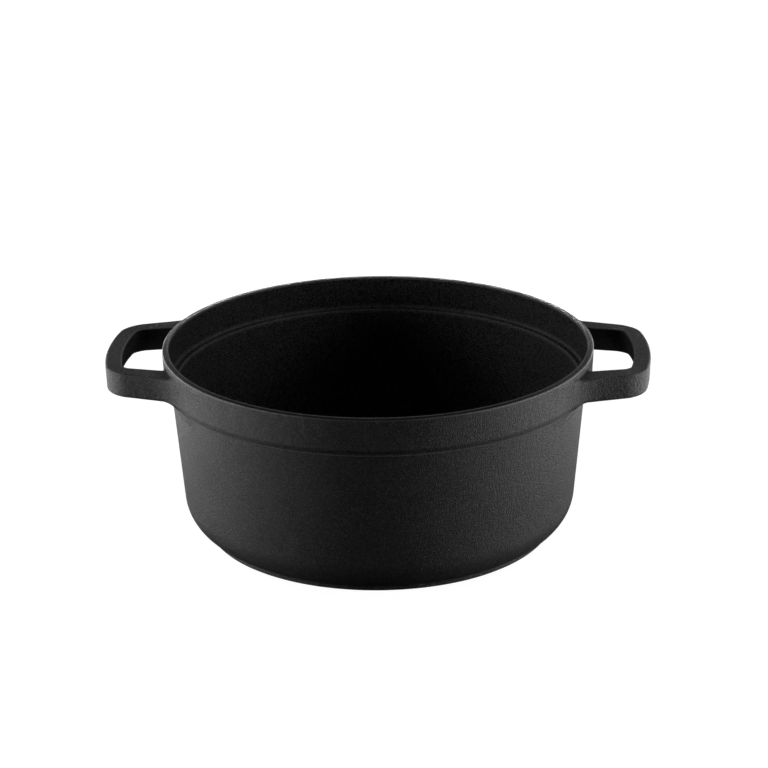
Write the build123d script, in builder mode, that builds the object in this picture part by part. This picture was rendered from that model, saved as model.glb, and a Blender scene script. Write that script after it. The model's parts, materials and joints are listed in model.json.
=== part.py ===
"""The body of a cast iron dutch oven: an open pot with a lid recess and two loop handles.

The real object is one casting. The casting is shaped whole here, then divided into the regions that
a pattern maker would name, each a closed solid that meets its neighbours face to face.
Millimetres. +Z is up, +X runs along the handles, and the origin is the centre of the standing plane.
"""

from build123d import *
import os
from math import acos, atan, cos, degrees, hypot

os.makedirs("parts", exist_ok=True)

# Rim and collar
HEIGHT = 111.0             # standing plane to rim
RIM_R = 125.0              # outside radius at the rim
RIM_LAND = 3.8             # width of the ground land on top of the rim
RIM_EDGE = 0.8             # round on the rim's outer edge
RIM_INNER_EDGE = 0.5       # round on the rim's inner edge
COLLAR_DRAFT = 0.04        # radius lost per millimetre of depth
COLLAR_BOTTOM = 88.7       # height of the step under the collar
COLLAR_ROUND = 2.4         # round on the collar's lower edge
STEP_FILLET = 0.8          # corner between the step and the wall

# Lid recess
LEDGE_Z = 91.0             # height of the ledge that a lid rests on
LEDGE_R = 117.0            # inner edge of the ledge
LEDGE_EDGE = 1.0           # round on the ledge's inner edge
RECESS_FILLET = 1.5        # corner between the recess wall and the ledge

# Wall, corner and floor
WALL_TOP_R = 120.6         # outside radius of the wall at the step
WALL_DRAFT = 0.083         # radius lost per millimetre of depth
WALL = 3.8                 # wall thickness
CORNER_R = 21.9            # outside round from the wall to the base
CORNER_LOW = 0.9           # height at which that round would turn level
INNER_CORNER_R = 18.0      # round from the wall to the floor, inside
FLOOR_Z = 6.0              # top of the floor

# Foot
FOOT_R = 102.3             # outside radius of the foot ring
FOOT_WIDTH = 12.3          # width of the ring that touches the table
FOOT_H = 1.5               # how far the ring stands below the base
FOOT_EDGE = 0.5            # round on the ring's lower outer edge

# Loop handles, seen from above. The plan's sizes are those at the foot of the blend under the root,
# and the sides lean out from there, so that the bar is wider at the top. Half widths are measured
# at GAUGE_X, and tapers are half width lost per millimetre.
GAUGE_X = 130.0
HANDLE_DRAFT = 2.0         # degrees that the outer sides lean
EYE_DRAFT = 7.5            # degrees that the eye's sides lean
HANDLE_TOP = 106.6         # height of the top face
HANDLE_BOTTOM = 91.7       # height of the underside
HANDLE_REACH = 157.0       # radius of the loop's end, about the pot's axis
HANDLE_HALF_WIDTH = 46.9   # half width over the legs
HANDLE_TAPER = 0.30
HANDLE_CORNER = 18.5       # round on the outer corners, seen from above
EYE_REACH = 150.8          # radius of the eye's end, about the pot's axis
EYE_HALF_WIDTH = 38.5      # half width of the eye
EYE_TAPER = 0.20
EYE_CORNER = 11.0          # round on the eye's outer corners
EYE_ROOT = 4.0             # round where the eye meets the collar
TOP_EDGE = 1.2             # round on the outer upper edges
EYE_EDGE = 0.7             # round on the eye's upper edge
UNDER_EDGE = 2.4           # round on the long lower edges
ROOT_FLARE = 13.0          # blend from each leg to the collar, seen from above
ROOT_OVER = 1.5            # blend from the top face up to the collar
ROOT_UNDER = 7.0           # blend from the underside down to the wall
ROOT_HALF_WIDTH = 58.0     # half width that the blends reach along the collar
SINK = 0.1                 # how far the blends end inside the pot's skin

# Heights and distances at which the casting is divided
CORNER_TOP = 26.0          # corner ring below, side wall above
WALL_TOP = 82.0            # side wall below, collar above
HANDLE_CUT_X = 129.0       # handles outside, collar inside

LEAN = atan(WALL_DRAFT)    # the wall's lean from upright
FOOT_INNER_R = FOOT_R - FOOT_WIDTH
RECESS_R = RIM_R - RIM_LAND


def wall_outside(z):
    """The wall's outside radius at a height."""
    return WALL_TOP_R - WALL_DRAFT * (COLLAR_BOTTOM - z)


def wall_inside(z):
    """The wall's inside radius at a height."""
    return wall_outside(z) - WALL


def collar_outside(z):
    """The collar's outside radius at a height."""
    return RIM_R - COLLAR_DRAFT * (HEIGHT - z)


def corner_centre(wall_radius, low, round_r):
    """The centre of a round that is tangent to a wall and turns level at a height."""
    return wall_radius(low + round_r) - round_r / cos(LEAN), low + round_r


def profile_corner(sketch, r, z):
    """The corner of a revolved profile nearest a radius and a height."""
    return sketch.vertices().sort_by_distance((r, z, 0))[0]


def wedge(half_width, taper):
    """A wedge that narrows outwards from inside the pot to past the handle's end."""
    near = RIM_R - ROOT_HALF_WIDTH / 2
    far = HANDLE_REACH + HANDLE_CORNER
    near_y = half_width - taper * (near - GAUGE_X)
    far_y = half_width - taper * (far - GAUGE_X)
    return Polyline((near, -near_y), (far, -far_y), (far, far_y), (near, near_y), close=True)


def axis_distance(point):
    """A point's distance from the pot's axis."""
    return hypot(point.X, point.Y)


def long_edges(part, height, root_radius):
    """The edges round one flat face of the handle, without the one along the collar."""
    face = part.faces().filter_by(Axis.Z).sort_by(lambda f: abs(f.center().Z - height))[0]
    return face.edges().filter_by(lambda e: axis_distance(e @ 0.5) > root_radius)


def round_eye(edge):
    """True for an edge of the handle that runs round the eye, not round the outside."""
    middle = edge @ 0.5
    taper = (HANDLE_TAPER + EYE_TAPER) / 2
    half_width = (HANDLE_HALF_WIDTH + EYE_HALF_WIDTH) / 2 - taper * (middle.X - GAUGE_X)
    return axis_distance(middle) < (HANDLE_REACH + EYE_REACH) / 2 and abs(middle.Y) < half_width


def up_the_collar(edge):
    """True for an upright edge of the eye's opening that stands against the collar."""
    ends = [axis_distance(edge @ end) for end in (0, 1)]
    return max(ends) < collar_skin + SINK and abs((edge % 0.5).Z) > 0.5


# The pot, from one half profile.
outer_centre = corner_centre(wall_outside, CORNER_LOW, CORNER_R)
inner_centre = corner_centre(wall_inside, FLOOR_Z, INNER_CORNER_R)
foot_angle = -degrees(acos((FOOT_R - outer_centre[0]) / CORNER_R))

with BuildPart() as pot:
    with BuildSketch(Plane.XZ) as profile:
        with BuildLine():
            outer = CenterArc(outer_centre, CORNER_R, foot_angle, -degrees(LEAN) - foot_angle)
            inner = CenterArc(inner_centre, INNER_CORNER_R, -90, 90 - degrees(LEAN))
            Polyline(
                inner @ 0,
                (0, FLOOR_Z),
                (0, FOOT_H),
                (FOOT_INNER_R, FOOT_H),
                (FOOT_INNER_R, 0),
                (FOOT_R, 0),
                outer @ 0,
            )
            Polyline(
                outer @ 1,
                (WALL_TOP_R, COLLAR_BOTTOM),
                (collar_outside(COLLAR_BOTTOM), COLLAR_BOTTOM),
                (RIM_R, HEIGHT),
                (RECESS_R, HEIGHT),
                (RECESS_R, LEDGE_Z),
                (LEDGE_R, LEDGE_Z),
                inner @ 1,
            )
        make_face()
        for r, z, size in (
            (FOOT_R, 0, FOOT_EDGE),
            (WALL_TOP_R, COLLAR_BOTTOM, STEP_FILLET),
            (collar_outside(COLLAR_BOTTOM), COLLAR_BOTTOM, COLLAR_ROUND),
            (RIM_R, HEIGHT, RIM_EDGE),
            (RECESS_R, HEIGHT, RIM_INNER_EDGE),
            (RECESS_R, LEDGE_Z, RECESS_FILLET),
            (LEDGE_R, LEDGE_Z, LEDGE_EDGE),
        ):
            fillet(profile_corner(profile, r, z), size)
    revolve(axis=Axis.Z)

# The handle's section on the plane through the pot's axis, with the blends over and under its root.
# Its inner boundary stays within the metal, outside the lid recess and the pot's cavity.
under_z = HANDLE_BOTTOM - ROOT_UNDER
over_z = HANDLE_TOP + ROOT_OVER
section_end = HANDLE_REACH + HANDLE_CORNER
section_step = (COLLAR_BOTTOM + LEDGE_Z) / 2
collar_skin = collar_outside(HANDLE_BOTTOM) - SINK
with BuildSketch(Plane.XZ) as section:
    with BuildLine():
        under = CenterArc(
            (wall_outside(under_z) - SINK + ROOT_UNDER, under_z), ROOT_UNDER, 180, -90
        )
        over = CenterArc((collar_outside(over_z) - SINK + ROOT_OVER, over_z), ROOT_OVER, 180, 90)
        Polyline(
            under @ 1, (section_end, HANDLE_BOTTOM), (section_end, HANDLE_TOP), over @ 1
        )
        Polyline(
            over @ 0,
            (RECESS_R + SINK, over_z),
            (RECESS_R + SINK, section_step),
            (wall_outside(under_z) - WALL / 2, section_step),
            (wall_outside(under_z) - WALL / 2, under_z),
            under @ 0,
        )
    make_face()

# The opening of the handle's eye, which narrows upwards and stands against the collar.
with BuildPart() as opening:
    with BuildSketch(Plane.XY.offset(under_z)) as eye:
        Circle(EYE_REACH)
        with BuildLine():
            wedge(EYE_HALF_WIDTH, EYE_TAPER)
        make_face(mode=Mode.INTERSECT)
        fillet(eye.vertices().group_by(Axis.X)[-1], EYE_CORNER)
    extrude(amount=over_z - under_z, taper=EYE_DRAFT)
    with BuildSketch(Plane.XY.offset(under_z)):
        Circle(collar_skin)
    extrude(amount=over_z - under_z, mode=Mode.SUBTRACT)
    fillet(opening.edges().filter_by(up_the_collar), EYE_ROOT)

with BuildPart() as loop:
    with BuildSketch(Plane.XY.offset(under_z)) as plan:
        Circle(HANDLE_REACH)
        with BuildLine():
            wedge(HANDLE_HALF_WIDTH, HANDLE_TAPER)
        make_face(mode=Mode.INTERSECT)
        fillet(plan.vertices().group_by(Axis.X)[-1], HANDLE_CORNER)
        Circle(collar_skin)
        fillet(plan.vertices().group_by(Axis.X)[-2], ROOT_FLARE)
        with Locations((section_end / 2, 0)):
            Rectangle(section_end, 2 * ROOT_HALF_WIDTH, mode=Mode.INTERSECT)
    extrude(amount=over_z - under_z, taper=-HANDLE_DRAFT)
    add(opening.part, mode=Mode.SUBTRACT)
    revolve(section.sketch, axis=Axis.Z, mode=Mode.INTERSECT)
    upper = long_edges(loop, HANDLE_TOP, RIM_R + ROOT_OVER)
    fillet(upper.filter_by(lambda e: not round_eye(e)), TOP_EDGE)
    upper = long_edges(loop, HANDLE_TOP, RIM_R + ROOT_OVER)
    fillet(upper.filter_by(round_eye), EYE_EDGE)
    fillet(long_edges(loop, HANDLE_BOTTOM, RIM_R + ROOT_UNDER / 2), UNDER_EDGE)

with BuildPart() as casting:
    add(pot.part)
    add(loop.part)
    mirror(loop.part, about=Plane.YZ)

# The regions of the casting, each cut out between planes.
with BuildPart() as foot_ring:
    add(casting.part)
    split(bisect_by=Plane.XY.offset(FOOT_H), keep=Keep.BOTTOM)

with BuildPart() as floor:
    with BuildSketch(Plane.XY.offset(FOOT_H)):
        Circle(FOOT_INNER_R)
    extrude(amount=FLOOR_Z - FOOT_H)

with BuildPart() as corner_ring:
    add(casting.part)
    split(bisect_by=Plane.XY.offset(FOOT_H), keep=Keep.TOP)
    split(bisect_by=Plane.XY.offset(CORNER_TOP), keep=Keep.BOTTOM)
    add(floor.part, mode=Mode.SUBTRACT)

with BuildPart() as side_wall:
    add(casting.part)
    split(bisect_by=Plane.XY.offset(CORNER_TOP), keep=Keep.TOP)
    split(bisect_by=Plane.XY.offset(WALL_TOP), keep=Keep.BOTTOM)

with BuildPart() as rim_collar:
    add(casting.part)
    split(bisect_by=Plane.XY.offset(WALL_TOP), keep=Keep.TOP)
    split(bisect_by=Plane.YZ.offset(HANDLE_CUT_X), keep=Keep.BOTTOM)
    split(bisect_by=Plane.YZ.offset(-HANDLE_CUT_X), keep=Keep.TOP)

with BuildPart() as right_handle:
    add(casting.part)
    split(bisect_by=Plane.YZ.offset(HANDLE_CUT_X), keep=Keep.TOP)

with BuildPart() as left_handle:
    add(casting.part)
    split(bisect_by=Plane.YZ.offset(-HANDLE_CUT_X), keep=Keep.BOTTOM)

foot_ring.part.label = "foot_ring"
export_step(foot_ring.part, "parts/foot_ring.step")
floor.part.label = "floor"
export_step(floor.part, "parts/floor.step")
corner_ring.part.label = "corner_ring"
export_step(corner_ring.part, "parts/corner_ring.step")
side_wall.part.label = "side_wall"
export_step(side_wall.part, "parts/side_wall.step")
rim_collar.part.label = "rim_collar"
export_step(rim_collar.part, "parts/rim_collar.step")
left_handle.part.label = "left_handle"
export_step(left_handle.part, "parts/left_handle.step")
right_handle.part.label = "right_handle"
export_step(right_handle.part, "parts/right_handle.step")
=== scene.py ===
"""The looks of a cast iron dutch oven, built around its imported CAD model.

Metres, in the CAD model's frame: +Z is up, +X runs along the handles, and the origin is the
centre of the standing plane. Each region of the casting gets a dense closed mesh of its own. The
collar and the handles share one smooth outline function, so that the handles grow out of the
collar in soft fillets.
"""

import json
import math

import bpy
import numpy as np
from mathutils import Matrix, Vector, noise


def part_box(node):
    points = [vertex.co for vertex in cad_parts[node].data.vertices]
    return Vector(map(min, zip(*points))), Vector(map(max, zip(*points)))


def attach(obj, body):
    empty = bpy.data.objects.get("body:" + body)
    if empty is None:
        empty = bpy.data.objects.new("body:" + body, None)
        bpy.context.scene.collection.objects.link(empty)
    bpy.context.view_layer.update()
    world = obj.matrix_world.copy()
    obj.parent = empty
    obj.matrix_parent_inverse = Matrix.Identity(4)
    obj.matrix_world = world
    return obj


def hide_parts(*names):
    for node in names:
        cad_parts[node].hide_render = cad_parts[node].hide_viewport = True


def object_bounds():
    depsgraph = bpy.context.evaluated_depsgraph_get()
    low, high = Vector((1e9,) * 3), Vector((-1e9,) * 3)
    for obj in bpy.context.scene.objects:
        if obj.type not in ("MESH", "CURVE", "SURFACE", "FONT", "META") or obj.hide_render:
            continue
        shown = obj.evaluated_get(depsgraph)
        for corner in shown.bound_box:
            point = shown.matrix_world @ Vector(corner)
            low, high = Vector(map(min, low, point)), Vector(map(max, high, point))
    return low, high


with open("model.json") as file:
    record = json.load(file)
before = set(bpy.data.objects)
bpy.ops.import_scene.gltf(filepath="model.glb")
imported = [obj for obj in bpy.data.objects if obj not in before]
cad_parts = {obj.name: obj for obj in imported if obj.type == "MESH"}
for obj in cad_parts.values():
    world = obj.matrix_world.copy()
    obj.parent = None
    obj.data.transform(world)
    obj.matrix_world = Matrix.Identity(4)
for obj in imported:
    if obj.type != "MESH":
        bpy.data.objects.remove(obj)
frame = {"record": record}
cad_low, cad_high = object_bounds()

# Dimensions read from the frame
foot_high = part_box("foot_ring")[1]
floor_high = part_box("floor")[1]
handle_low, handle_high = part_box("right_handle")
mounts = {mount["name"]: mount for mount in frame["record"]["mounts"]}

HEIGHT = cad_high.z
FOOT_R = foot_high.x
FOOT_H = foot_high.z
FLOOR_R = floor_high.x
FLOOR_Z = floor_high.z
CORNER_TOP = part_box("corner_ring")[1].z
WALL_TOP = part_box("side_wall")[1].z
HANDLE_TOP = handle_high.z
HANDLE_BOTTOM = handle_low.z
RECESS_R = mounts["lid_recess"]["dims"]["r_mm"] / 1000
LEDGE_Z = mounts["lid_seat"]["pos_m"][2]

# The pot's section
RIM_LAND = 0.0038           # width of the ground land on the rim
RIM_R = RECESS_R + RIM_LAND
LAND_FALL = 0.0005          # how far the land falls towards the outside
RIM_EDGE = 0.0008           # round on the rim's outer edge
RIM_INNER_EDGE = 0.0005     # round on the rim's inner edge
COLLAR_DRAFT = 0.04         # radius lost per depth
COLLAR_BOTTOM = 0.0887      # height of the step under the collar
COLLAR_ROUND = 0.0024       # round on the collar's lower edge
STEP_FILLET = 0.0008        # corner between the step and the wall
LEDGE_R = 0.117             # inner edge of the lid ledge
LEDGE_EDGE = 0.001
RECESS_FILLET = 0.0015
WALL_TOP_R = 0.1206         # outside radius of the wall at the step
WALL_DRAFT = 0.083          # radius lost per depth
WALL = 0.0038               # wall thickness
CORNER_R = 0.0219           # outside round from wall to base
CORNER_LOW = 0.0009         # height at which that round would turn level
INNER_CORNER_R = 0.018
FOOT_EDGE = 0.0005
FOOT_GROOVE = 0.001         # fillet between the foot and the corner round

# The handles. Half widths are taken at GAUGE_X, and tapers are half width lost per length.
GAUGE_X = 0.130
HANDLE_DRAFT = math.tan(math.radians(2.0))
EYE_DRAFT = math.tan(math.radians(7.5))
PLAN_Z = HANDLE_BOTTOM - 0.007     # height at which the plan's sizes are taken
HANDLE_REACH = 0.157
HANDLE_HALF_WIDTH = 0.0469
HANDLE_TAPER = 0.30
HANDLE_CORNER = 0.0088      # size of the outer corner's round, seen from above
EYE_REACH = 0.1508
EYE_HALF_WIDTH = 0.0385
EYE_TAPER = 0.20
EYE_CORNER = 0.0062
TOP_EDGE = 0.0012           # round on the outer upper edge
EYE_EDGE = 0.0007           # on the eye's upper edge
UNDER_EDGE = 0.0024
FLARE_OUTER = 0.012         # reach of the fillet on the outer side of each leg
FLARE_EYE = 0.005           # on the eye's side
FLARE_TOP = 0.0022          # over the leg
FLARE_UNDER = 0.003         # under the leg
GUSSET = 0.007              # radius of the thickening under the leg, against the wall
RIM_CLEAR = 0.0012          # band below the rim that no fillet reaches
ROOT_R = 0.1226             # radius at which the handle pieces end, inside the collar's metal
DIP = 0.0001                # how far each mesh dips under the other past the middle of a fillet

# Mesh density
SEGMENTS = 600              # round the pot
SPACING = 0.0013            # along the pot's section
COLLAR_SPACING = 0.0011     # along the collar's section
BAR_SPACING = 0.0009        # along the handles
ROUND_STEP = math.radians(16)      # largest turn between points on a section's rounds
BEND_STEP = math.radians(4)        # and on the handles' bends

# Wear, grinding and painted highlights
FRONT_RIM_HIGHLIGHT = 0.35           # share of the outer rim's edge wear and painted highlight that the front and back show; the sides get the full painted highlight
RIM_BAND = 0.002            # height of the band that counts as the outer rim
INNER_RUB = 2.2             # wear along the recess's upper edge, and how far it reaches
INNER_RUB_REACH = 0.0012
LEDGE_HIGHLIGHT_REACH = 0.0009    # reach of the painted highlight lines along the ledge's two edges, across and up
LEDGE_HIGHLIGHT_RISE = 0.0022
GROUND_DEPTH = (0.0004, 0.0001)    # below the land's outer edge, where grinding fades in
GROUND_SMOOTHING = 0.8      # share of the cast relief that grinding takes off
TOP_WEAR, UNDER_WEAR, EYE_HIGHLIGHT = 0.15, 0.3, 1.5    # wear on the rounds along the handle's bar, and a painted highlight line on the eye's upper round
ROOT_WEAR = 0.3             # share of the bar's wear that the legs show
# wear and painted highlight on each handle's edges; the left handle's edges get more painted
# highlight
LEFT_WEAR_AND_HIGHLIGHT, RIGHT_WEAR_AND_HIGHLIGHT = 1.0, 0.3

# Cast relief: features per metre, where the noise starts, and height
RELIEF = (
    (38, (7.3, -2.1, 4.4), 0.00006),
    (160, (-1.7, 9.2, 3.3), 0.000022),
    (330, (5.1, 0.6, -8.8), 0.000014),
)

LEAN = math.atan(WALL_DRAFT)


# ---------------------------------------------------------------- outlines

def wall_outside(z):
    """The wall's outside radius at a height."""
    return WALL_TOP_R - WALL_DRAFT * (COLLAR_BOTTOM - z)


def wall_inside(z):
    """The wall's inside radius at a height."""
    return wall_outside(z) - WALL


def collar_outside(z):
    """The collar's outside radius at a height."""
    return RIM_R - COLLAR_DRAFT * (HEIGHT - z)


def arc_points(centre, radius, start, end, spacing=SPACING):
    """Points along an arc between two angles, as corners without rounds."""
    steps = max(2, math.ceil(abs(end - start) * radius / spacing))
    angles = [start + (end - start) * i / steps for i in range(steps + 1)]
    return [(centre[0] + radius * math.cos(a), centre[1] + radius * math.sin(a), 0) for a in angles]


def rounded_path(corners, spacing=SPACING, finest=ROUND_STEP):
    """Points along straight runs whose corners (u, v, radius) are rounded.

    Each point is (u, v, edge), where edge rises to 1 in the middle of a tight convex round.
    """
    path = [(*corners[0][:2], 0.0)]

    def run_to(point):
        start = np.array(path[-1][:2])
        gap = np.array(point) - start
        steps = max(1, math.ceil(np.hypot(*gap) / spacing - 0.01))
        path.extend((*(start + gap * i / steps), 0.0) for i in range(1, steps + 1))

    for before, corner, after in zip(corners, corners[1:], corners[2:]):
        here = np.array(corner[:2])
        radius = corner[2]
        if not radius:
            run_to(here)
            continue
        a = np.array(before[:2]) - here
        b = np.array(after[:2]) - here
        a /= np.hypot(*a)
        b /= np.hypot(*b)
        turn = math.pi - math.acos(np.clip(a @ b, -1, 1))
        reach = radius * math.tan(turn / 2)
        middle = (a + b) / np.hypot(*(a + b))
        centre = here + middle * radius / math.cos(turn / 2)
        run_to(here + a * reach)
        convex = a[1] * b[0] - a[0] * b[1] > 0
        steps = max(math.ceil(turn / finest), math.ceil(turn * radius / spacing))
        start = here + a * reach - centre
        sign = 1 if convex else -1
        for i in range(1, steps + 1):
            angle = sign * turn * i / steps
            spun = (
                start[0] * math.cos(angle) - start[1] * math.sin(angle),
                start[0] * math.sin(angle) + start[1] * math.cos(angle),
            )
            wear_and_highlight = math.sin(math.pi * i / steps) if convex else 0.0
            path.append((centre[0] + spun[0], centre[1] + spun[1], wear_and_highlight))
    run_to(corners[-1][:2])
    return np.array(path)


def corner_centre(wall_radius, low, radius):
    """The centre of a round that is tangent to a wall and turns level at a height."""
    return wall_radius(low + radius) - radius / math.cos(LEAN), low + radius


outer_centre = corner_centre(wall_outside, CORNER_LOW, CORNER_R)
inner_centre = corner_centre(wall_inside, FLOOR_Z, INNER_CORNER_R)
foot_angle = -math.acos((FOOT_R - outer_centre[0]) / CORNER_R)

foot_path = rounded_path([
    (FLOOR_R, FOOT_H, 0),
    (FLOOR_R, 0, FOOT_EDGE),
    (FOOT_R, 0, FOOT_EDGE),
    (FOOT_R, FOOT_H, 0),
])
corner_arc = arc_points(outer_centre, CORNER_R, foot_angle, -LEAN)
corner_arc[0] = (*corner_arc[0][:2], FOOT_GROOVE)
corner_outer_path = rounded_path([
    (FOOT_R, FOOT_H, 0),
    *corner_arc,
    (wall_outside(CORNER_TOP), CORNER_TOP, 0),
])
corner_inner_path = rounded_path([
    (wall_inside(CORNER_TOP), CORNER_TOP, 0),
    *arc_points(inner_centre, INNER_CORNER_R, -LEAN, -math.pi / 2),
    (FLOOR_R, FLOOR_Z, 0),
])
wall_outer_path = rounded_path([
    (wall_outside(CORNER_TOP), CORNER_TOP, 0),
    (wall_outside(WALL_TOP), WALL_TOP, 0),
])
wall_inner_path = rounded_path([
    (wall_inside(WALL_TOP), WALL_TOP, 0),
    (wall_inside(CORNER_TOP), CORNER_TOP, 0),
])
collar_path = rounded_path([
    (wall_outside(WALL_TOP), WALL_TOP, 0),
    (WALL_TOP_R, COLLAR_BOTTOM, STEP_FILLET),
    (collar_outside(COLLAR_BOTTOM), COLLAR_BOTTOM, COLLAR_ROUND),
    (RIM_R, HEIGHT - LAND_FALL, RIM_EDGE),
    (RECESS_R, HEIGHT, RIM_INNER_EDGE),
    (RECESS_R, LEDGE_Z, RECESS_FILLET),
    (LEDGE_R, LEDGE_Z, LEDGE_EDGE),
    (wall_inside(WALL_TOP), WALL_TOP, 0),
], spacing=COLLAR_SPACING)


# ---------------------------------------------------------------- the collar and handles' outline

def section_distance(u, v, outline):
    """Signed distance from points to a closed outline, negative inside."""
    start = outline
    end = np.roll(outline, -1, axis=0)
    nearest = np.full(len(u), 1e9)
    inside = np.zeros(len(u), bool)
    for (u0, v0), (u1, v1) in zip(start, end):
        du, dv = u1 - u0, v1 - v0
        along = np.clip(((u - u0) * du + (v - v0) * dv) / (du * du + dv * dv), 0, 1)
        nearest = np.minimum(nearest, np.hypot(u - u0 - along * du, v - v0 - along * dv))
        crosses = (v0 > v) != (v1 > v)
        if v1 != v0:
            inside ^= crosses & (u < u0 + (v - v0) * du / dv)
    return np.where(inside, -nearest, nearest)


rim_row = int(np.argmax(collar_path[:, 1]))      # where the collar's path reaches the rim
core_r = WALL_TOP_R / 2                          # the outline closes well inside the wall
core_low = WALL_TOP - 0.03                       # and well under the handles
pot_outline = np.vstack([
    [(core_r, core_low), (wall_outside(core_low), core_low)],
    collar_path[: rim_row + 1, :2],
    [(core_r, HEIGHT)],
])


def smooth_step(value, low, high):
    """0 below low, 1 above high, with a smooth rise between."""
    t = np.clip((value - low) / (high - low), 0, 1)
    return t * t * (3 - 2 * t)


def rounded_meet(a, b, size):
    """The distance to where two half spaces meet, with that corner rounded."""
    a = a + size
    b = b + size
    return np.minimum(np.maximum(a, b), 0) + np.hypot(np.maximum(a, 0), np.maximum(b, 0)) - size


def plan_distance(x, y, reach, half_width, taper, corner):
    """Distance to one outline of the handle, seen from above."""
    side = (np.abs(y) - half_width + taper * (x - GAUGE_X)) / math.hypot(1, taper)
    return rounded_meet(np.hypot(x, y) - reach, side, corner)


def outer_plan(x, y):
    """Distance to the handle's outer outline, negative inside it."""
    return plan_distance(x, y, HANDLE_REACH, HANDLE_HALF_WIDTH, HANDLE_TAPER, HANDLE_CORNER)


def eye_plan(x, y):
    """Distance to the eye's outline, negative in the eye."""
    return plan_distance(x, y, EYE_REACH, EYE_HALF_WIDTH, EYE_TAPER, EYE_CORNER)


def skin(points, parts=False):
    """Signed distance to the outside of the pot and its handles, blended where they meet.

    With parts, it also gives the distances to the pot and to the bar alone and the blend's reach.
    """
    x = np.abs(points[:, 0])
    y = points[:, 1]
    z = points[:, 2]
    r = np.hypot(x, y)
    pot = section_distance(r, z, pot_outline)
    rise = z - PLAN_Z
    outer = outer_plan(x, y) - rise * HANDLE_DRAFT
    eye = -eye_plan(x, y) - rise * EYE_DRAFT
    side = np.maximum(outer, eye)
    off_wall = np.clip(r - WALL_TOP_R, 0, GUSSET)
    gusset = GUSSET - np.sqrt(np.maximum(GUSSET**2 - (GUSSET - off_wall) ** 2, 0))
    over = z - HANDLE_TOP
    under = HANDLE_BOTTOM - gusset - z
    level = np.maximum(over, under)
    edge = np.where(over > under, np.where(outer > eye, TOP_EDGE, EYE_EDGE), UNDER_EDGE)
    bar = rounded_meet(side, level, edge)
    upright = np.maximum(level + edge, 0) ** 2
    across = np.maximum(side + edge, 0) ** 2
    both = upright + across
    share = np.where(both > 0, upright / np.maximum(both, 1e-12), level > side)
    flare = np.where(outer > eye, FLARE_OUTER, FLARE_EYE)
    cap = np.where(over > under, FLARE_TOP, FLARE_UNDER)
    reach = flare + (cap - flare) * share
    reach = np.maximum(reach * smooth_step(HEIGHT - z, RIM_CLEAR, 3 * RIM_CLEAR), 1e-6)
    mix = np.maximum(reach - np.abs(pot - bar), 0) / reach
    blended = np.minimum(pot, bar) - mix * mix * reach / 4
    return (blended, pot, bar, reach) if parts else blended


def skin_normals(points, step=2e-5):
    """Unit normals of the blended skin, by central differences."""
    gradient = np.zeros_like(points)
    for axis in range(3):
        shift = np.zeros(3)
        shift[axis] = step
        gradient[:, axis] = (skin(points + shift) - skin(points - shift)) / (2 * step)
    size = np.linalg.norm(gradient, axis=1, keepdims=True)
    return gradient / np.maximum(size, 1e-6), size


# ---------------------------------------------------------------- cast relief

def relief(points):
    """How far the as-cast skin stands off its ideal shape, from the place alone."""
    heights = np.empty(len(points))
    for i, (x, y, z) in enumerate(points):
        heights[i] = sum(
            size * noise.noise(Vector((x * scale + u, y * scale + v, z * scale + w)))
            for scale, (u, v, w), size in RELIEF
        )
    return heights


# ---------------------------------------------------------------- meshes

def make_piece(name, node, vertices, faces, sharp, layers):
    """A closed mesh that rides on the pot and stands for one CAD node."""
    mesh = bpy.data.meshes.new(name)
    mesh.from_pydata([tuple(v) for v in vertices], [], [tuple(f) for f in faces])
    mesh.update()
    mesh.shade_smooth()
    if sharp:
        marks = mesh.attributes.new("sharp_edge", "BOOLEAN", "EDGE")
        wanted = {tuple(sorted(pair)) for pair in sharp}
        for edge in mesh.edges:
            if tuple(sorted(edge.vertices)) in wanted:
                marks.data[edge.index].value = True
    for label, values in layers.items():
        layer = mesh.attributes.new(label, "FLOAT", "POINT")
        layer.data.foreach_set("value", np.asarray(values, np.float32))
    mesh.materials.append(iron)
    piece = bpy.data.objects.new(name, mesh)
    bpy.context.scene.collection.objects.link(piece)
    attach(piece, "root")
    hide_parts(node)
    return piece


def section_normals(path):
    """Outward normals of a section path that has the metal on its left."""
    ahead = np.vstack([path[1:, :2], path[-1:, :2]])
    behind = np.vstack([path[:1, :2], path[:-1, :2]])
    along = ahead - behind
    along /= np.hypot(along[:, 0], along[:, 1])[:, None]
    return np.column_stack([along[:, 1], -along[:, 0]])


def ground_share(r, z):
    """1 on the rim's ground land, 0 elsewhere."""
    start, full = (HEIGHT - LAND_FALL - depth for depth in GROUND_DEPTH)
    return smooth_step(z, start, full) * smooth_step(r, RECESS_R - RIM_INNER_EDGE, RECESS_R)


def ledge_highlight(r, z):
    """1 along both edges of the lid ledge, where highlight lines are painted, 0 elsewhere."""
    if not LEDGE_R - 0.0002 < r < RECESS_R + 0.0002:
        return 0.0
    inner = 1 - abs(r - LEDGE_R) / LEDGE_HIGHLIGHT_REACH
    outer = 1 - abs(r - RECESS_R + 0.0003) / LEDGE_HIGHLIGHT_REACH
    near = 1 - abs(z - LEDGE_Z) / LEDGE_HIGHLIGHT_RISE
    return max(0.0, min(1.0, max(inner, outer), near))


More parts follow.
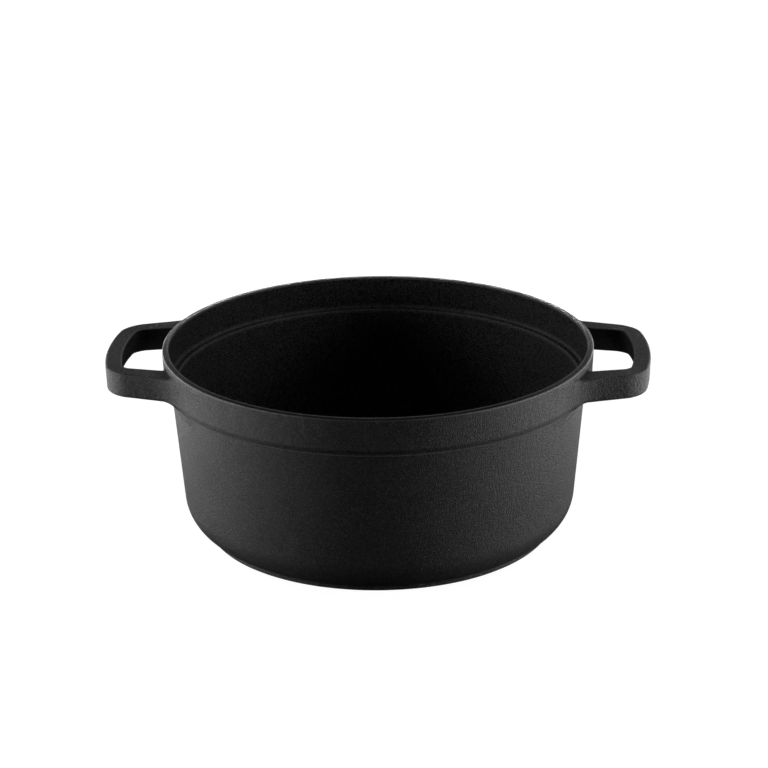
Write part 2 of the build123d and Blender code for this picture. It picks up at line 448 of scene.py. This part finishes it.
def lathe(name, node, stretches, shape=None):
    """A closed ring of metal. Stretches are (path, seen), in order round its section.

    Seen stretches get the cast relief, the wear and the painted highlight lines. Shape can lift the
    outside's points.
    """
    angles = np.arange(SEGMENTS) * 2 * math.pi / SEGMENTS
    radial = np.column_stack([np.cos(angles), np.sin(angles)])
    whole = np.ones((SEGMENTS, 1))
    to_side = smooth_step(np.abs(radial[:, 0]), 0.15, 0.55)      # 0 at the front, 1 at the handles
    # the outer rim's edge gets more painted highlight at the sides
    rim_highlight_share = FRONT_RIM_HIGHLIGHT + (1 - FRONT_RIM_HIGHLIGHT) * to_side
    rings = []
    wear_and_highlight = []
    ground = []
    inside = []
    seams = []
    for path, seen in stretches:
        if seen:
            seams.append(len(rings))
            seams.append(len(rings) + len(path) - 1)
            normals = section_normals(path)
            for row, ((r, z, edge), (nr, nz)) in enumerate(zip(path, normals)):
                points = np.hstack([radial * r, whole * z])
                directions = np.hstack([radial * nr, whole * nz])
                if shape and row < rim_row:
                    points = shape(points, directions)
                land = ground_share(r, z)
                rub = INNER_RUB * land * (1 - (r - RECESS_R) / INNER_RUB_REACH)
                # the ledge's painted highlight lines join the edge wear
                edge = max(edge, ledge_highlight(r, z), rub)
                on_outer_rim = r > RIM_R - RIM_EDGE and z > HEIGHT - RIM_BAND
                rough = relief(points) * (1 - GROUND_SMOOTHING * land)
                points = points + directions * rough[:, None]
                points[:, 2] = np.maximum(points[:, 2], 0)       # the foot stays on the plane
                rings.append(points)
                wear_and_highlight.append(edge * (rim_highlight_share if on_outer_rim else np.ones(SEGMENTS)))
                ground.append(np.full(SEGMENTS, land))
                inward = z > FLOOR_Z - 0.001 and r < RECESS_R + 0.0003 and nr < 0.1
                inside.append(np.full(SEGMENTS, float(inward)))
        else:
            for r, z in path:
                rings.append(np.hstack([radial * r, whole * z]))
                wear_and_highlight.append(np.zeros(SEGMENTS))
                ground.append(np.zeros(SEGMENTS))
                inside.append(np.zeros(SEGMENTS))
    count = len(rings)
    index = np.arange(count * SEGMENTS).reshape(count, SEGMENTS)
    beside = np.roll(index, -1, axis=1)
    above = np.roll(index, -1, axis=0)
    corner = np.roll(beside, -1, axis=0)
    faces = np.stack([index, beside, corner, above], axis=-1).reshape(-1, 4)
    sharp = [pair for ring in seams for pair in zip(index[ring], beside[ring])]
    layers = {label: np.concatenate(rows) for label, rows in (
        ("wear_and_highlight", wear_and_highlight), ("ground", ground), ("inside", inside),
    )}
    return make_piece(name, node, np.vstack(rings), faces, sharp, layers)


def disc(name, node, radius, low, high):
    """A round plate of even square cells, whose edge matches the lathed rings."""
    cells = SEGMENTS // 4
    line = np.linspace(-1, 1, cells + 1)
    a, b = np.meshgrid(line, line, indexing="ij")
    wide = np.abs(a) >= np.abs(b)
    ratio = np.where(wide, b / np.where(a == 0, 1, a), a / np.where(b == 0, 1, b))
    turn = np.where(wide, math.pi / 4 * ratio, math.pi / 2 - math.pi / 4 * ratio)
    out = np.where(wide, a, b) * radius
    x = (out * np.cos(turn)).ravel()
    y = (out * np.sin(turn)).ravel()
    top = np.column_stack([x, y, np.full(len(x), high)])
    bottom = np.column_stack([x, y, np.full(len(x), low)])
    top[:, 2] += relief(top)
    bottom[:, 2] -= relief(bottom)
    grid = np.arange((cells + 1) ** 2).reshape(cells + 1, cells + 1)
    cell = (grid[:-1, :-1], grid[1:, :-1], grid[1:, 1:], grid[:-1, 1:])
    top_faces = np.stack(cell, axis=-1).reshape(-1, 4)
    bottom_faces = top_faces[:, ::-1] + len(x)
    border = [*grid[:-1, 0], *grid[-1, :-1], *grid[:0:-1, -1], *grid[0, :0:-1]]
    rim = list(zip(border, border[1:] + border[:1]))
    side_faces = np.array([(p + len(x), q + len(x), q, p) for p, q in rim])
    sharp = rim + [(p + len(x), q + len(x)) for p, q in rim]
    vertices = np.vstack([top, bottom])
    faces = np.vstack([top_faces, bottom_faces, side_faces])
    zeros = np.zeros(len(vertices))
    layers = {"wear_and_highlight": zeros, "ground": zeros, "inside": np.repeat([1.0, 0.0], len(x))}
    return make_piece(name, node, vertices, faces, sharp, layers)


def raise_fillets(points, directions):
    """Lifts the pot's skin along its normals into the fillets round the handles' roots."""
    value, _, bar, reach = skin(points, parts=True)
    near = (value < -1e-7) & (bar > -0.006)
    if not near.any():
        return points
    start = points[near]
    along = directions[near]
    limit = 0.45 * reach[near] * smooth_step(bar[near], -0.003, -0.0003)
    low = np.zeros(len(start))
    high = limit.copy()
    for _ in range(14):
        middle = (low + high) / 2
        inside = skin(start + along * middle[:, None]) < 0
        low = np.where(inside, middle, low)
        high = np.where(inside, high, middle)
    sunk = DIP * (1 - smooth_step((bar / reach)[near], 0.13, 0.22))
    lifted = points.copy()
    lifted[near] = start + along * (high - sunk)[:, None]
    return lifted


def crossing(start, direction, distance, far=0.02):
    """Where a plan distance first turns positive along a direction."""
    low, high = 0.0, far
    for _ in range(40):
        middle = (low + high) / 2
        x, y = start + direction * middle
        if distance(np.array([x]), np.array([y]))[0] < 0:
            low = middle
        else:
            high = middle
    return start + direction * high


def root_on(half_width, taper):
    """Where a leg's side meets the radius at which the handle piece ends."""
    x = 0.09                    # well inside the pot
    start = np.array([x, half_width - taper * (x - GAUGE_X)])
    along = np.array([1, -taper]) / math.hypot(1, taper)
    reach = -start @ along + math.sqrt((start @ along) ** 2 - start @ start + ROOT_R**2)
    return start + along * reach


def handle_outlines():
    """Matching points along the handle's outer outline and along its eye, from root to root."""
    mid_width = (HANDLE_HALF_WIDTH + EYE_HALF_WIDTH) / 2
    mid_taper = (HANDLE_TAPER + EYE_TAPER) / 2
    mid_reach = (HANDLE_REACH + EYE_REACH) / 2
    knee_x, knee_round = 0.1488, 0.014
    end_round = 0.12
    knee_y = mid_width - mid_taper * (knee_x - GAUGE_X)
    leg_x = 0.1335
    centre = rounded_path([
        (leg_x, mid_width - mid_taper * (leg_x - GAUGE_X), 0),
        (knee_x, knee_y, knee_round),
        (mid_reach, 0, end_round),
        (knee_x, -knee_y, knee_round),
        (leg_x, -mid_width + mid_taper * (leg_x - GAUGE_X), 0),
    ], spacing=BAR_SPACING, finest=BEND_STEP)[:, :2]
    along = np.gradient(centre, axis=0)
    along /= np.linalg.norm(along, axis=1)[:, None]
    across = np.column_stack([-along[:, 1], along[:, 0]])
    outer = np.array([crossing(c, n, outer_plan) for c, n in zip(centre, across)])
    eye = np.array([
        crossing(c, -n, lambda x, y: -eye_plan(x, y)) for c, n in zip(centre, across)
    ])
    outer_root = root_on(HANDLE_HALF_WIDTH, HANDLE_TAPER)
    eye_root = root_on(EYE_HALF_WIDTH, EYE_TAPER)
    steps = math.ceil(np.linalg.norm(outer[0] - outer_root) / BAR_SPACING)
    share = (np.arange(steps) / steps)[:, None]
    outer_leg = outer_root + (outer[0] - outer_root) * share
    eye_leg = eye_root + (eye[0] - eye_root) * share
    flip = np.array([1, -1])
    outer = np.vstack([outer_leg, outer, outer_leg[::-1] * flip])
    eye = np.vstack([eye_leg, eye, eye_leg[::-1] * flip])
    return outer, eye


def bar_section():
    """The bar's section, as rows of (share, offset, height, wear and painted highlight).

    Share is how far the row lies from the eye towards the outer side, and offset is added to it.
    """
    width_steps, round_steps, side_steps = 12, 5, 16
    low = HANDLE_BOTTOM
    high = HANDLE_TOP
    points = []

    def run(start, end, steps, first_highlight=0):
        for i in range(steps):
            share, offset, height = (a + (b - a) * i / steps for a, b in zip(start, end))
            points.append((share, offset, height, first_highlight if i == 0 else 0))

    def corner(side, level, radius, start, wear_and_highlight_level):
        for i in range(round_steps):
            turn = math.radians(start - 90 * i / round_steps)
            inset = -side * radius + radius * math.cos(turn)
            height = level + (-radius if level == high else radius) + radius * math.sin(turn)
            wear_and_highlight = wear_and_highlight_level * math.sin(math.pi * i / round_steps)
            points.append(((side + 1) / 2, inset, height, wear_and_highlight))

    # the eye's upper edge and round get a painted highlight line
    run((0, EYE_EDGE, high), (1, -TOP_EDGE, high), width_steps, first_highlight=1)
    corner(1, high, TOP_EDGE, 90, TOP_WEAR)
    run((1, 0, high - TOP_EDGE), (1, 0, low + UNDER_EDGE), side_steps)
    corner(1, low, UNDER_EDGE, 0, UNDER_WEAR)
    run((1, -UNDER_EDGE, low), (0, UNDER_EDGE, low), width_steps)
    corner(-1, low, UNDER_EDGE, -90, UNDER_WEAR)
    run((0, 0, low + UNDER_EDGE), (0, 0, high - EYE_EDGE), side_steps)
    corner(-1, high, EYE_EDGE, 180, EYE_HIGHLIGHT)
    return np.array(points)


def handle(name, node, side, wear_and_highlight_level):
    """One loop handle, with its two legs ending inside the collar's metal."""
    outer, eye = handle_outlines()
    section = bar_section()
    share, offset, height, wear_and_highlight = section.T
    count = len(section)
    across = outer - eye
    unit = across / np.linalg.norm(across, axis=1)[:, None]
    offset = offset + (height - PLAN_Z) * (share * HANDLE_DRAFT - (1 - share) * EYE_DRAFT)
    flat = (
        eye[:, None, :]
        + across[:, None, :] * share[None, :, None]
        + unit[:, None, :] * offset[None, :, None]
    )
    heights = np.broadcast_to(height, (len(outer), count))
    points = np.concatenate([flat, heights[:, :, None]], axis=2).reshape(-1, 3)
    _, pot, _, reach = skin(points, parts=True)
    free = pot > -0.25 * reach
    moved = points[free]
    for _ in range(8):
        normals, size = skin_normals(moved)
        moved = moved - normals * (skin(moved)[:, None] / np.maximum(size, 0.3))
    normals, _ = skin_normals(moved)
    depth = (pot / reach)[free]
    sunk = DIP * (1 - smooth_step(depth, 0.02, 0.12)) + 0.5 * np.maximum(-pot[free], 0)
    moved = moved + normals * (relief(moved * [side, 1, 1]) - sunk)[:, None]
    points[free] = moved
    stations = len(outer)
    index = np.arange(stations * count).reshape(stations, count)
    beside = np.roll(index, -1, axis=1)
    cell = (index[:-1], index[1:], beside[1:], beside[:-1])
    faces = np.stack(cell, axis=-1).reshape(-1, 4).tolist()
    for ring, order in ((index[0], 1), (index[-1], -1)):
        hub = len(points)
        points = np.vstack([points, points[ring].mean(axis=0)])
        loop = list(ring)[::order]
        faces += [(hub, p, q) for p, q in zip(loop, loop[1:] + loop[:1])]
    on_bar = ROOT_WEAR + (1 - ROOT_WEAR) * smooth_step(eye[:, 0], 0.138, 0.144)
    wear_and_highlight = np.concatenate([(on_bar[:, None] * wear_and_highlight * wear_and_highlight_level).ravel(), [0, 0]])
    points[:, 0] *= side
    if side < 0:
        faces = [tuple(reversed(face)) for face in faces]
    zeros = np.zeros(len(points))
    layers = {"wear_and_highlight": wear_and_highlight, "ground": zeros, "inside": zeros}
    return make_piece(name, node, points, faces, [], layers)


# ---------------------------------------------------------------- materials

# Colours of the iron, from the ground up
IRON_DARK, IRON_LIGHT = (0.0175, 0.0175, 0.018), (0.0255, 0.0255, 0.026)
FLECK = (0.062, 0.062, 0.063)
CRUMB_DARK, CRUMB_LIGHT = (0.003, 0.003, 0.003), (0.05, 0.05, 0.051)     # inside the pot
STROKE = (0.07, 0.07, 0.071)
DUST = (0.11, 0.11, 0.112)
TOP_LIGHT = (0.13, 0.13, 0.131)                                           # painted light on top of the handles
LAND_PIT = (0.003, 0.003, 0.003)                                         # on the ground rim
# the ground rim's own colour at the front, and a painted highlight towards the handles, where side
# lamps would light it
LAND_FRONT, LAND_SIDE_HIGHLIGHT = (0.02, 0.02, 0.02), (0.12, 0.12, 0.121)
BARE_AND_HIGHLIGHT = (0.17, 0.17, 0.172)                                               # where it is worn, and on painted highlight lines along edges
UNDER_COLLAR_SHADE = (0.006, 0.006, 0.006)                                           # painted shade under the collar

# How far each layer of the grain stands off, in metres
PEEL_BUMP = 0.00012
SAND_BUMP = 0.00032
GRAIN_BUMP = 0.00027
STROKE_BUMP = 0.00007
RING_BUMP = 0.0002


def add(tree, kind, **settings):
    """A shader node with some of its properties set."""
    made = tree.nodes.new(kind)
    for key, value in settings.items():
        setattr(made, key, value)
    return made


def noise_node(tree, vector, scale, detail, roughness=0.5):
    """A noise texture, in features per metre."""
    made = add(tree, "ShaderNodeTexNoise")
    made.inputs["Scale"].default_value = scale
    made.inputs["Detail"].default_value = detail
    made.inputs["Roughness"].default_value = roughness
    tree.links.new(vector, made.inputs["Vector"])
    return made.outputs["Fac"]


def ramp(tree, value, low, high, to_low=0.0, to_high=1.0):
    """A value mapped from one range to another, clamped."""
    made = add(tree, "ShaderNodeMapRange", interpolation_type="SMOOTHSTEP")
    limits = {"From Min": low, "From Max": high, "To Min": to_low, "To Max": to_high}
    for name, number in limits.items():
        made.inputs[name].default_value = number
    tree.links.new(value, made.inputs["Value"])
    return made.outputs["Result"]


def combine(tree, operation, a, b):
    """A Math node on two sockets or numbers."""
    made = add(tree, "ShaderNodeMath", operation=operation)
    for socket, value in zip(made.inputs, (a, b)):
        if isinstance(value, (int, float)):
            socket.default_value = value
        else:
            tree.links.new(value, socket)
    return made.outputs[0]


def times(tree, first, *others):
    """The product of sockets or numbers."""
    for other in others:
        first = combine(tree, "MULTIPLY", first, other)
    return first


def band(tree, value, rise, fall):
    """1 between two places on a scale, with a smooth rise before and a smooth fall after."""
    return times(tree, ramp(tree, value, *rise), ramp(tree, value, *fall, 1.0, 0.0))


def blend_colour(tree, share, a, b):
    """A colour mixed from a to b by a share."""
    made = add(tree, "ShaderNodeMix", data_type="RGBA")
    tree.links.new(share, made.inputs["Factor"])
    for socket, value in ((made.inputs[6], a), (made.inputs[7], b)):
        if isinstance(value, tuple):
            socket.default_value = (*value, 1)
        else:
            tree.links.new(value, socket)
    return made.outputs[2]


def bump(tree, height, distance, normal=None):
    """A bump node whose height of 1 stands off by a distance in metres."""
    made = add(tree, "ShaderNodeBump")
    made.inputs["Strength"].default_value = 1.0
    made.inputs["Distance"].default_value = distance
    tree.links.new(height, made.inputs["Height"])
    if normal:
        tree.links.new(normal, made.inputs["Normal"])
    return made.outputs["Normal"]


def stretched(tree, vector, factors):
    """A vector with each of its coordinates scaled."""
    made = add(tree, "ShaderNodeVectorMath", operation="MULTIPLY")
    made.inputs[1].default_value = factors
    tree.links.new(vector, made.inputs[0])
    return made.outputs[0]


def specks(tree, vector, scale, size):
    """1 in the middle of small scattered dots, at a number of cells per metre."""
    made = add(tree, "ShaderNodeTexVoronoi", feature="F1")
    made.inputs["Scale"].default_value = scale
    tree.links.new(vector, made.inputs["Vector"])
    return ramp(tree, made.outputs["Distance"], 0.0, size, 1.0, 0.0)


def iron_material():
    """Seasoned cast iron: black, sand-grained, worn on its edges and ground on the rim, with
    painted highlights on edges, the rim's sides and the handles' tops and painted shade under the
    collar.
    """
    material = bpy.data.materials.new("seasoned_iron")
    material.use_nodes = True
    tree = material.node_tree
    shader = tree.nodes["Principled BSDF"]
    place = add(tree, "ShaderNodeTexCoord").outputs["Object"]
    wear_and_highlight = add(tree, "ShaderNodeAttribute", attribute_name="wear_and_highlight").outputs["Fac"]
    ground = add(tree, "ShaderNodeAttribute", attribute_name="ground").outputs["Fac"]
    inside = add(tree, "ShaderNodeAttribute", attribute_name="inside").outputs["Fac"]

    # Where on the casting: reach from the axis, height, and masks of the collar and handles
    axes = add(tree, "ShaderNodeSeparateXYZ")
    tree.links.new(place, axes.inputs[0])
    squares = [times(tree, axes.outputs[i], axes.outputs[i]) for i in (0, 1)]
    reach = combine(tree, "SQRT", combine(tree, "ADD", *squares), 0)
    height = axes.outputs[2]
    on_handle = ramp(tree, reach, RIM_R + 0.002, RIM_R + 0.010)
    on_collar = times(
        tree,
        ramp(tree, height, COLLAR_BOTTOM + 0.001, COLLAR_BOTTOM + 0.004),
        ramp(tree, reach, RECESS_R + 0.001, RECESS_R + 0.002),
        ramp(tree, reach, RIM_R + 0.0005, RIM_R + 0.006, 1.0, 0.0),
    )

    # Grain of the sand mould, from the finest to the broadest
    grain = noise_node(tree, place, 1500, 3, 0.65)
    sand = noise_node(tree, place, 700, 3, 0.6)
    peel = noise_node(tree, place, 330, 2, 0.5)
    patches = noise_node(tree, place, 42, 5, 0.6)
    pits = ramp(tree, specks(tree, place, 1000, 0.5), 0.0, 1.0, 1.0, 0.0)
    dust = times(tree, specks(tree, place, 420, 0.2), ramp(tree, sand, 0.45, 0.6))

    # Fine upright strokes left by dressing the collar, in loose clusters
    strokes = noise_node(tree, stretched(tree, place, (1, 1, 0.05)), 1000, 3, 0.6)
    clusters = ramp(tree, noise_node(tree, stretched(tree, place, (1, 1, 0.3)), 55, 2), 0.42, 0.62)
    brushed = times(tree, on_collar, clusters)

    # Painted shade on the collar's lower round, under the collar
    under_collar_shade = times(
        tree,
        band(tree, height, (COLLAR_BOTTOM + 0.0008, COLLAR_BOTTOM + 0.0016),
             (COLLAR_BOTTOM + 0.0030, COLLAR_BOTTOM + 0.0048)),
        band(tree, reach, (WALL_TOP_R + 0.0005, WALL_TOP_R + 0.0015),
             (RIM_R + 0.001, RIM_R + 0.003)),
    )

    # Rings left by grinding the rim
    spin = add(tree, "ShaderNodeCombineXYZ")
    tree.links.new(reach, spin.inputs[0])
    rings = noise_node(tree, spin.outputs[0], 2600, 2, 0.6)

    # Colour: each layer lies over those before it
    colour = blend_colour(tree, ramp(tree, patches, 0.3, 0.7), IRON_DARK, IRON_LIGHT)
    colour = blend_colour(tree, ramp(tree, grain, 0.54, 0.7), colour, FLECK)
    crumbs = blend_colour(tree, ramp(tree, grain, 0.38, 0.62), CRUMB_DARK, CRUMB_LIGHT)
    colour = blend_colour(tree, inside, colour, crumbs)
    stroke_share = times(tree, brushed, ramp(tree, strokes, 0.5, 0.68, 0.0, 0.4))
    colour = blend_colour(tree, stroke_share, colour, STROKE)
    colour = blend_colour(tree, times(tree, dust, 0.6), colour, DUST)
    # Painted light on the handles' tops
    near_top = ramp(tree, height, HANDLE_TOP - 0.0004, HANDLE_TOP - 0.0001)
    lit_handle_tops = times(tree, on_handle, near_top)
    top_light_share = times(tree, lit_handle_tops, ramp(tree, grain, 0.42, 0.6, 0.0, 0.9))
    colour = blend_colour(tree, top_light_share, colour, TOP_LIGHT)
    # The ground rim: painted highlight towards the handles, as side lamps would light it, darker at
    # the front
    sideways = combine(tree, "DIVIDE", combine(tree, "ABSOLUTE", axes.outputs[0], 0), reach)
    side_light_share = ramp(tree, sideways, 0.5, 0.95)
    bright = blend_colour(tree, side_light_share, LAND_FRONT, LAND_SIDE_HIGHLIGHT)
    land = blend_colour(tree, ramp(tree, grain, 0.46, 0.6), LAND_PIT, bright)
    colour = blend_colour(tree, ground, colour, land)
    # Worn edges, with painted highlight lines on the ledge, the eye and the rim's edge
    wear_and_highlight_level = times(tree, wear_and_highlight, ramp(tree, sand, 0.35, 0.6, 0.45, 1.0))
    colour = blend_colour(tree, wear_and_highlight_level, colour, BARE_AND_HIGHLIGHT)
    # Painted shade under the collar, on its lower round
    colour = blend_colour(tree, times(tree, under_collar_shade, 0.55), colour, UNDER_COLLAR_SHADE)
    tree.links.new(colour, shader.inputs["Base Color"])

    # Roughness, less where it is worn or on the painted highlight lines, and where it is ground
    rough = ramp(tree, sand, 0.3, 0.7, 0.52, 0.66)
    rough = combine(tree, "SUBTRACT", rough, times(tree, wear_and_highlight_level, 0.12))
    rough = combine(tree, "SUBTRACT", rough, times(tree, ground, 0.08))
    tree.links.new(rough, shader.inputs["Roughness"])

    # Gloss of single grains, duller on the collar's lower round under the painted shade and on the
    # ground rim's front
    glint = ramp(tree, grain, 0.38, 0.62, -1.0, 1.0)
    gleam = times(tree, glint, ramp(tree, inside, 0.0, 1.0, 0.4, 1.0))
    gloss = ramp(tree, under_collar_shade, 0.0, 1.0, 0.45, 0.28)
    shine = times(tree, gloss, combine(tree, "ADD", gleam, 1.0))
    dull = times(tree, ground, ramp(tree, side_light_share, 0.0, 1.0, 0.8, 0.35))
    dull = times(tree, dull, ramp(tree, wear_and_highlight, 0.0, 0.6, 1.0, 0.0))
    shine = times(tree, shine, ramp(tree, dull, 0.0, 1.0, 1.0, 0.0))
    tree.links.new(shine, shader.inputs["Specular IOR Level"])

    # Bumps: grinding flattens the grain, and the inside keeps more of it
    cast = ramp(tree, ground, 0.0, 1.0, 1.0, 0.7)
    fine = times(tree, combine(tree, "ADD", grain, pits), cast)
    fine = times(tree, fine, ramp(tree, inside, 0.0, 1.0, 1.0, 3.0))
    coarse = times(tree, sand, ramp(tree, on_handle, 0.0, 1.0, 0.5, 1.5))
    normal = bump(tree, peel, PEEL_BUMP)
    normal = bump(tree, times(tree, coarse, cast), SAND_BUMP, normal=normal)
    normal = bump(tree, fine, GRAIN_BUMP, normal=normal)
    normal = bump(tree, times(tree, strokes, brushed), STROKE_BUMP, normal=normal)
    normal = bump(tree, times(tree, rings, ground), RING_BUMP, normal=normal)
    tree.links.new(normal, shader.inputs["Normal"])
    return material


# ---------------------------------------------------------------- camera, floor and light

WORLD_GLOW = 0.006
STRIP = (0.8, 0.12)             # width and height of each kind of lamp
BOX = (0.7, 0.6)
BOUNCE = (0.4, 0.4)
AT_FOOT = (1.6, 0.06)           # distance from the axis and height
AT_RIM = (1.6, 0.29)
HIGH_UP = (1.3, 1.0)
POT = (0, 0, 0.07)              # what the boxes aim at

# Name, turn from the front in degrees, place, size, power and aim
LAMPS = (
    ("left_strip", -90, AT_FOOT, STRIP, 11.5, None),
    ("right_strip", 90, AT_FOOT, STRIP, 13.0, None),
    ("left_rear_strip", -120, AT_FOOT, STRIP, 8.5, None),
    ("right_rear_strip", 120, AT_FOOT, STRIP, 5.0, None),
    ("left_box", -73, AT_RIM, BOX, 5.7, POT),
    ("right_box", 73, AT_RIM, BOX, 3.9, POT),
    ("back_box", 180, HIGH_UP, BOX, 1.4, POT),
    ("left_high_box", -108, HIGH_UP, BOX, 3.6, POT),
    ("right_high_box", 108, HIGH_UP, BOX, 3.3, POT),
    ("top_box", 0, (0.3, 1.5), BOX, 0.3, POT),
    ("rear_strip", 180, AT_FOOT, STRIP, 8, None),
    ("left_back_strip", -150, AT_FOOT, STRIP, 5, None),
    ("right_back_strip", 150, AT_FOOT, STRIP, 5, None),
)


def make_camera():
    """A long lens that looks down on the pot from a little to the right of its front."""
    distance = 1.380
    elevation = math.radians(20.56)
    swing = math.radians(2.2)
    roll = 0.0115
    film = 36
    film_widths = 3.0741        # focal length over the film's width
    aim = Vector((0.00327, 0, 0.08448))
    data = bpy.data.cameras.new("camera")
    data.sensor_width = film
    data.lens = film * film_widths
    camera = bpy.data.objects.new("camera", data)
    bpy.context.scene.collection.objects.link(camera)
    back = Vector((0, -math.cos(elevation), math.sin(elevation)))
    right = Vector((1, 0, 0))
    turned = Matrix((right, right.cross(-back), back)).transposed().to_4x4()
    placed = Matrix.Translation(aim + back * distance) @ turned @ Matrix.Rotation(-roll, 4, "Z")
    camera.matrix_world = Matrix.Rotation(swing, 4, "Z") @ placed
    bpy.context.scene.camera = camera


def make_floor():
    """A plain white floor that glows evenly and doesn't light the pot."""
    bpy.ops.mesh.primitive_circle_add(vertices=96, radius=6, fill_type="NGON")
    floor = bpy.context.object
    floor.name = "floor_plane"
    material = bpy.data.materials.new("floor_white")
    material.use_nodes = True
    shader = material.node_tree.nodes["Principled BSDF"]
    shader.inputs["Base Color"].default_value = (0.2, 0.2, 0.2, 1)
    shader.inputs["Roughness"].default_value = 1.0
    shader.inputs["Specular IOR Level"].default_value = 0.0
    shader.inputs["Emission Color"].default_value = (1, 1, 1, 1)
    shader.inputs["Emission Strength"].default_value = 0.97
    floor.data.materials.append(material)
    floor.visible_diffuse = False
    floor.visible_glossy = False


def make_world():
    """White to the camera, and a dim even grey to everything that it lights."""
    world = bpy.data.worlds.new("studio")
    bpy.context.scene.world = world
    world.use_nodes = True
    tree = world.node_tree
    seen = tree.nodes["Background"]
    seen.inputs["Color"].default_value = (1, 1, 1, 1)
    seen.inputs["Strength"].default_value = 1.0
    lights = add(tree, "ShaderNodeBackground")
    lights.inputs["Color"].default_value = (1, 1, 1, 1)
    lights.inputs["Strength"].default_value = WORLD_GLOW
    rays = add(tree, "ShaderNodeLightPath")
    mixed = add(tree, "ShaderNodeMixShader")
    tree.links.new(rays.outputs["Is Camera Ray"], mixed.inputs[0])
    tree.links.new(lights.outputs[0], mixed.inputs[1])
    tree.links.new(seen.outputs[0], mixed.inputs[2])
    tree.links.new(mixed.outputs[0], tree.nodes["World Output"].inputs["Surface"])


def lamp(name, place, size, power, aim=None):
    """A soft rectangular lamp, unseen by the camera. It shines level unless it has an aim."""
    data = bpy.data.lights.new(name, "AREA")
    data.shape = "RECTANGLE"
    data.size, data.size_y = size
    data.energy = power
    made = bpy.data.objects.new(name, data)
    made.location = place
    target = Vector(aim) if aim else Vector((0, 0, place[2]))
    made.rotation_euler = (target - Vector(place)).to_track_quat("-Z", "Y").to_euler()
    made.visible_camera = False
    bpy.context.scene.collection.objects.link(made)


def around(turn, distance, height):
    """A place at a turn from the front in degrees, positive to the right, seen from above."""
    angle = math.radians(turn)
    return distance * math.sin(angle), -distance * math.cos(angle), height


make_camera()
make_floor()
make_world()
for name, turn, (distance, height), size, power, aim in LAMPS:
    lamp(name, around(turn, distance, height), size, power, aim)
for side, name in ((-1, "left"), (1, "right")):
    for y, power, where in ((0.2, 1.3, "rear"), (-0.2, 0.5, "front")):
        lamp(f"{name}_{where}_bounce", (side * 0.45, y, 0.001), BOUNCE, power, (side * 0.45, y, 1))
bpy.context.scene.view_settings.view_transform = "Standard"


# ---------------------------------------------------------------- the pot

iron = iron_material()
disc("floor", "floor", FLOOR_R, FOOT_H, FLOOR_Z)
lathe("foot_ring", "foot_ring", [(foot_path, True), ([((FOOT_R + FLOOR_R) / 2, FOOT_H)], False)])
lathe("corner_ring", "corner_ring", [
    (corner_outer_path, True),
    (corner_inner_path, True),
    ([(FLOOR_R, (FLOOR_Z + FOOT_H) / 2), (FLOOR_R, FOOT_H)], False),
])
lathe("side_wall", "side_wall", [(wall_outer_path, True), (wall_inner_path, True)])
lathe("rim_collar", "rim_collar", [(collar_path, True)], shape=raise_fillets)
handle("right_handle", "right_handle", 1, RIGHT_WEAR_AND_HIGHLIGHT)
handle("left_handle", "left_handle", -1, LEFT_WEAR_AND_HIGHLIGHT)
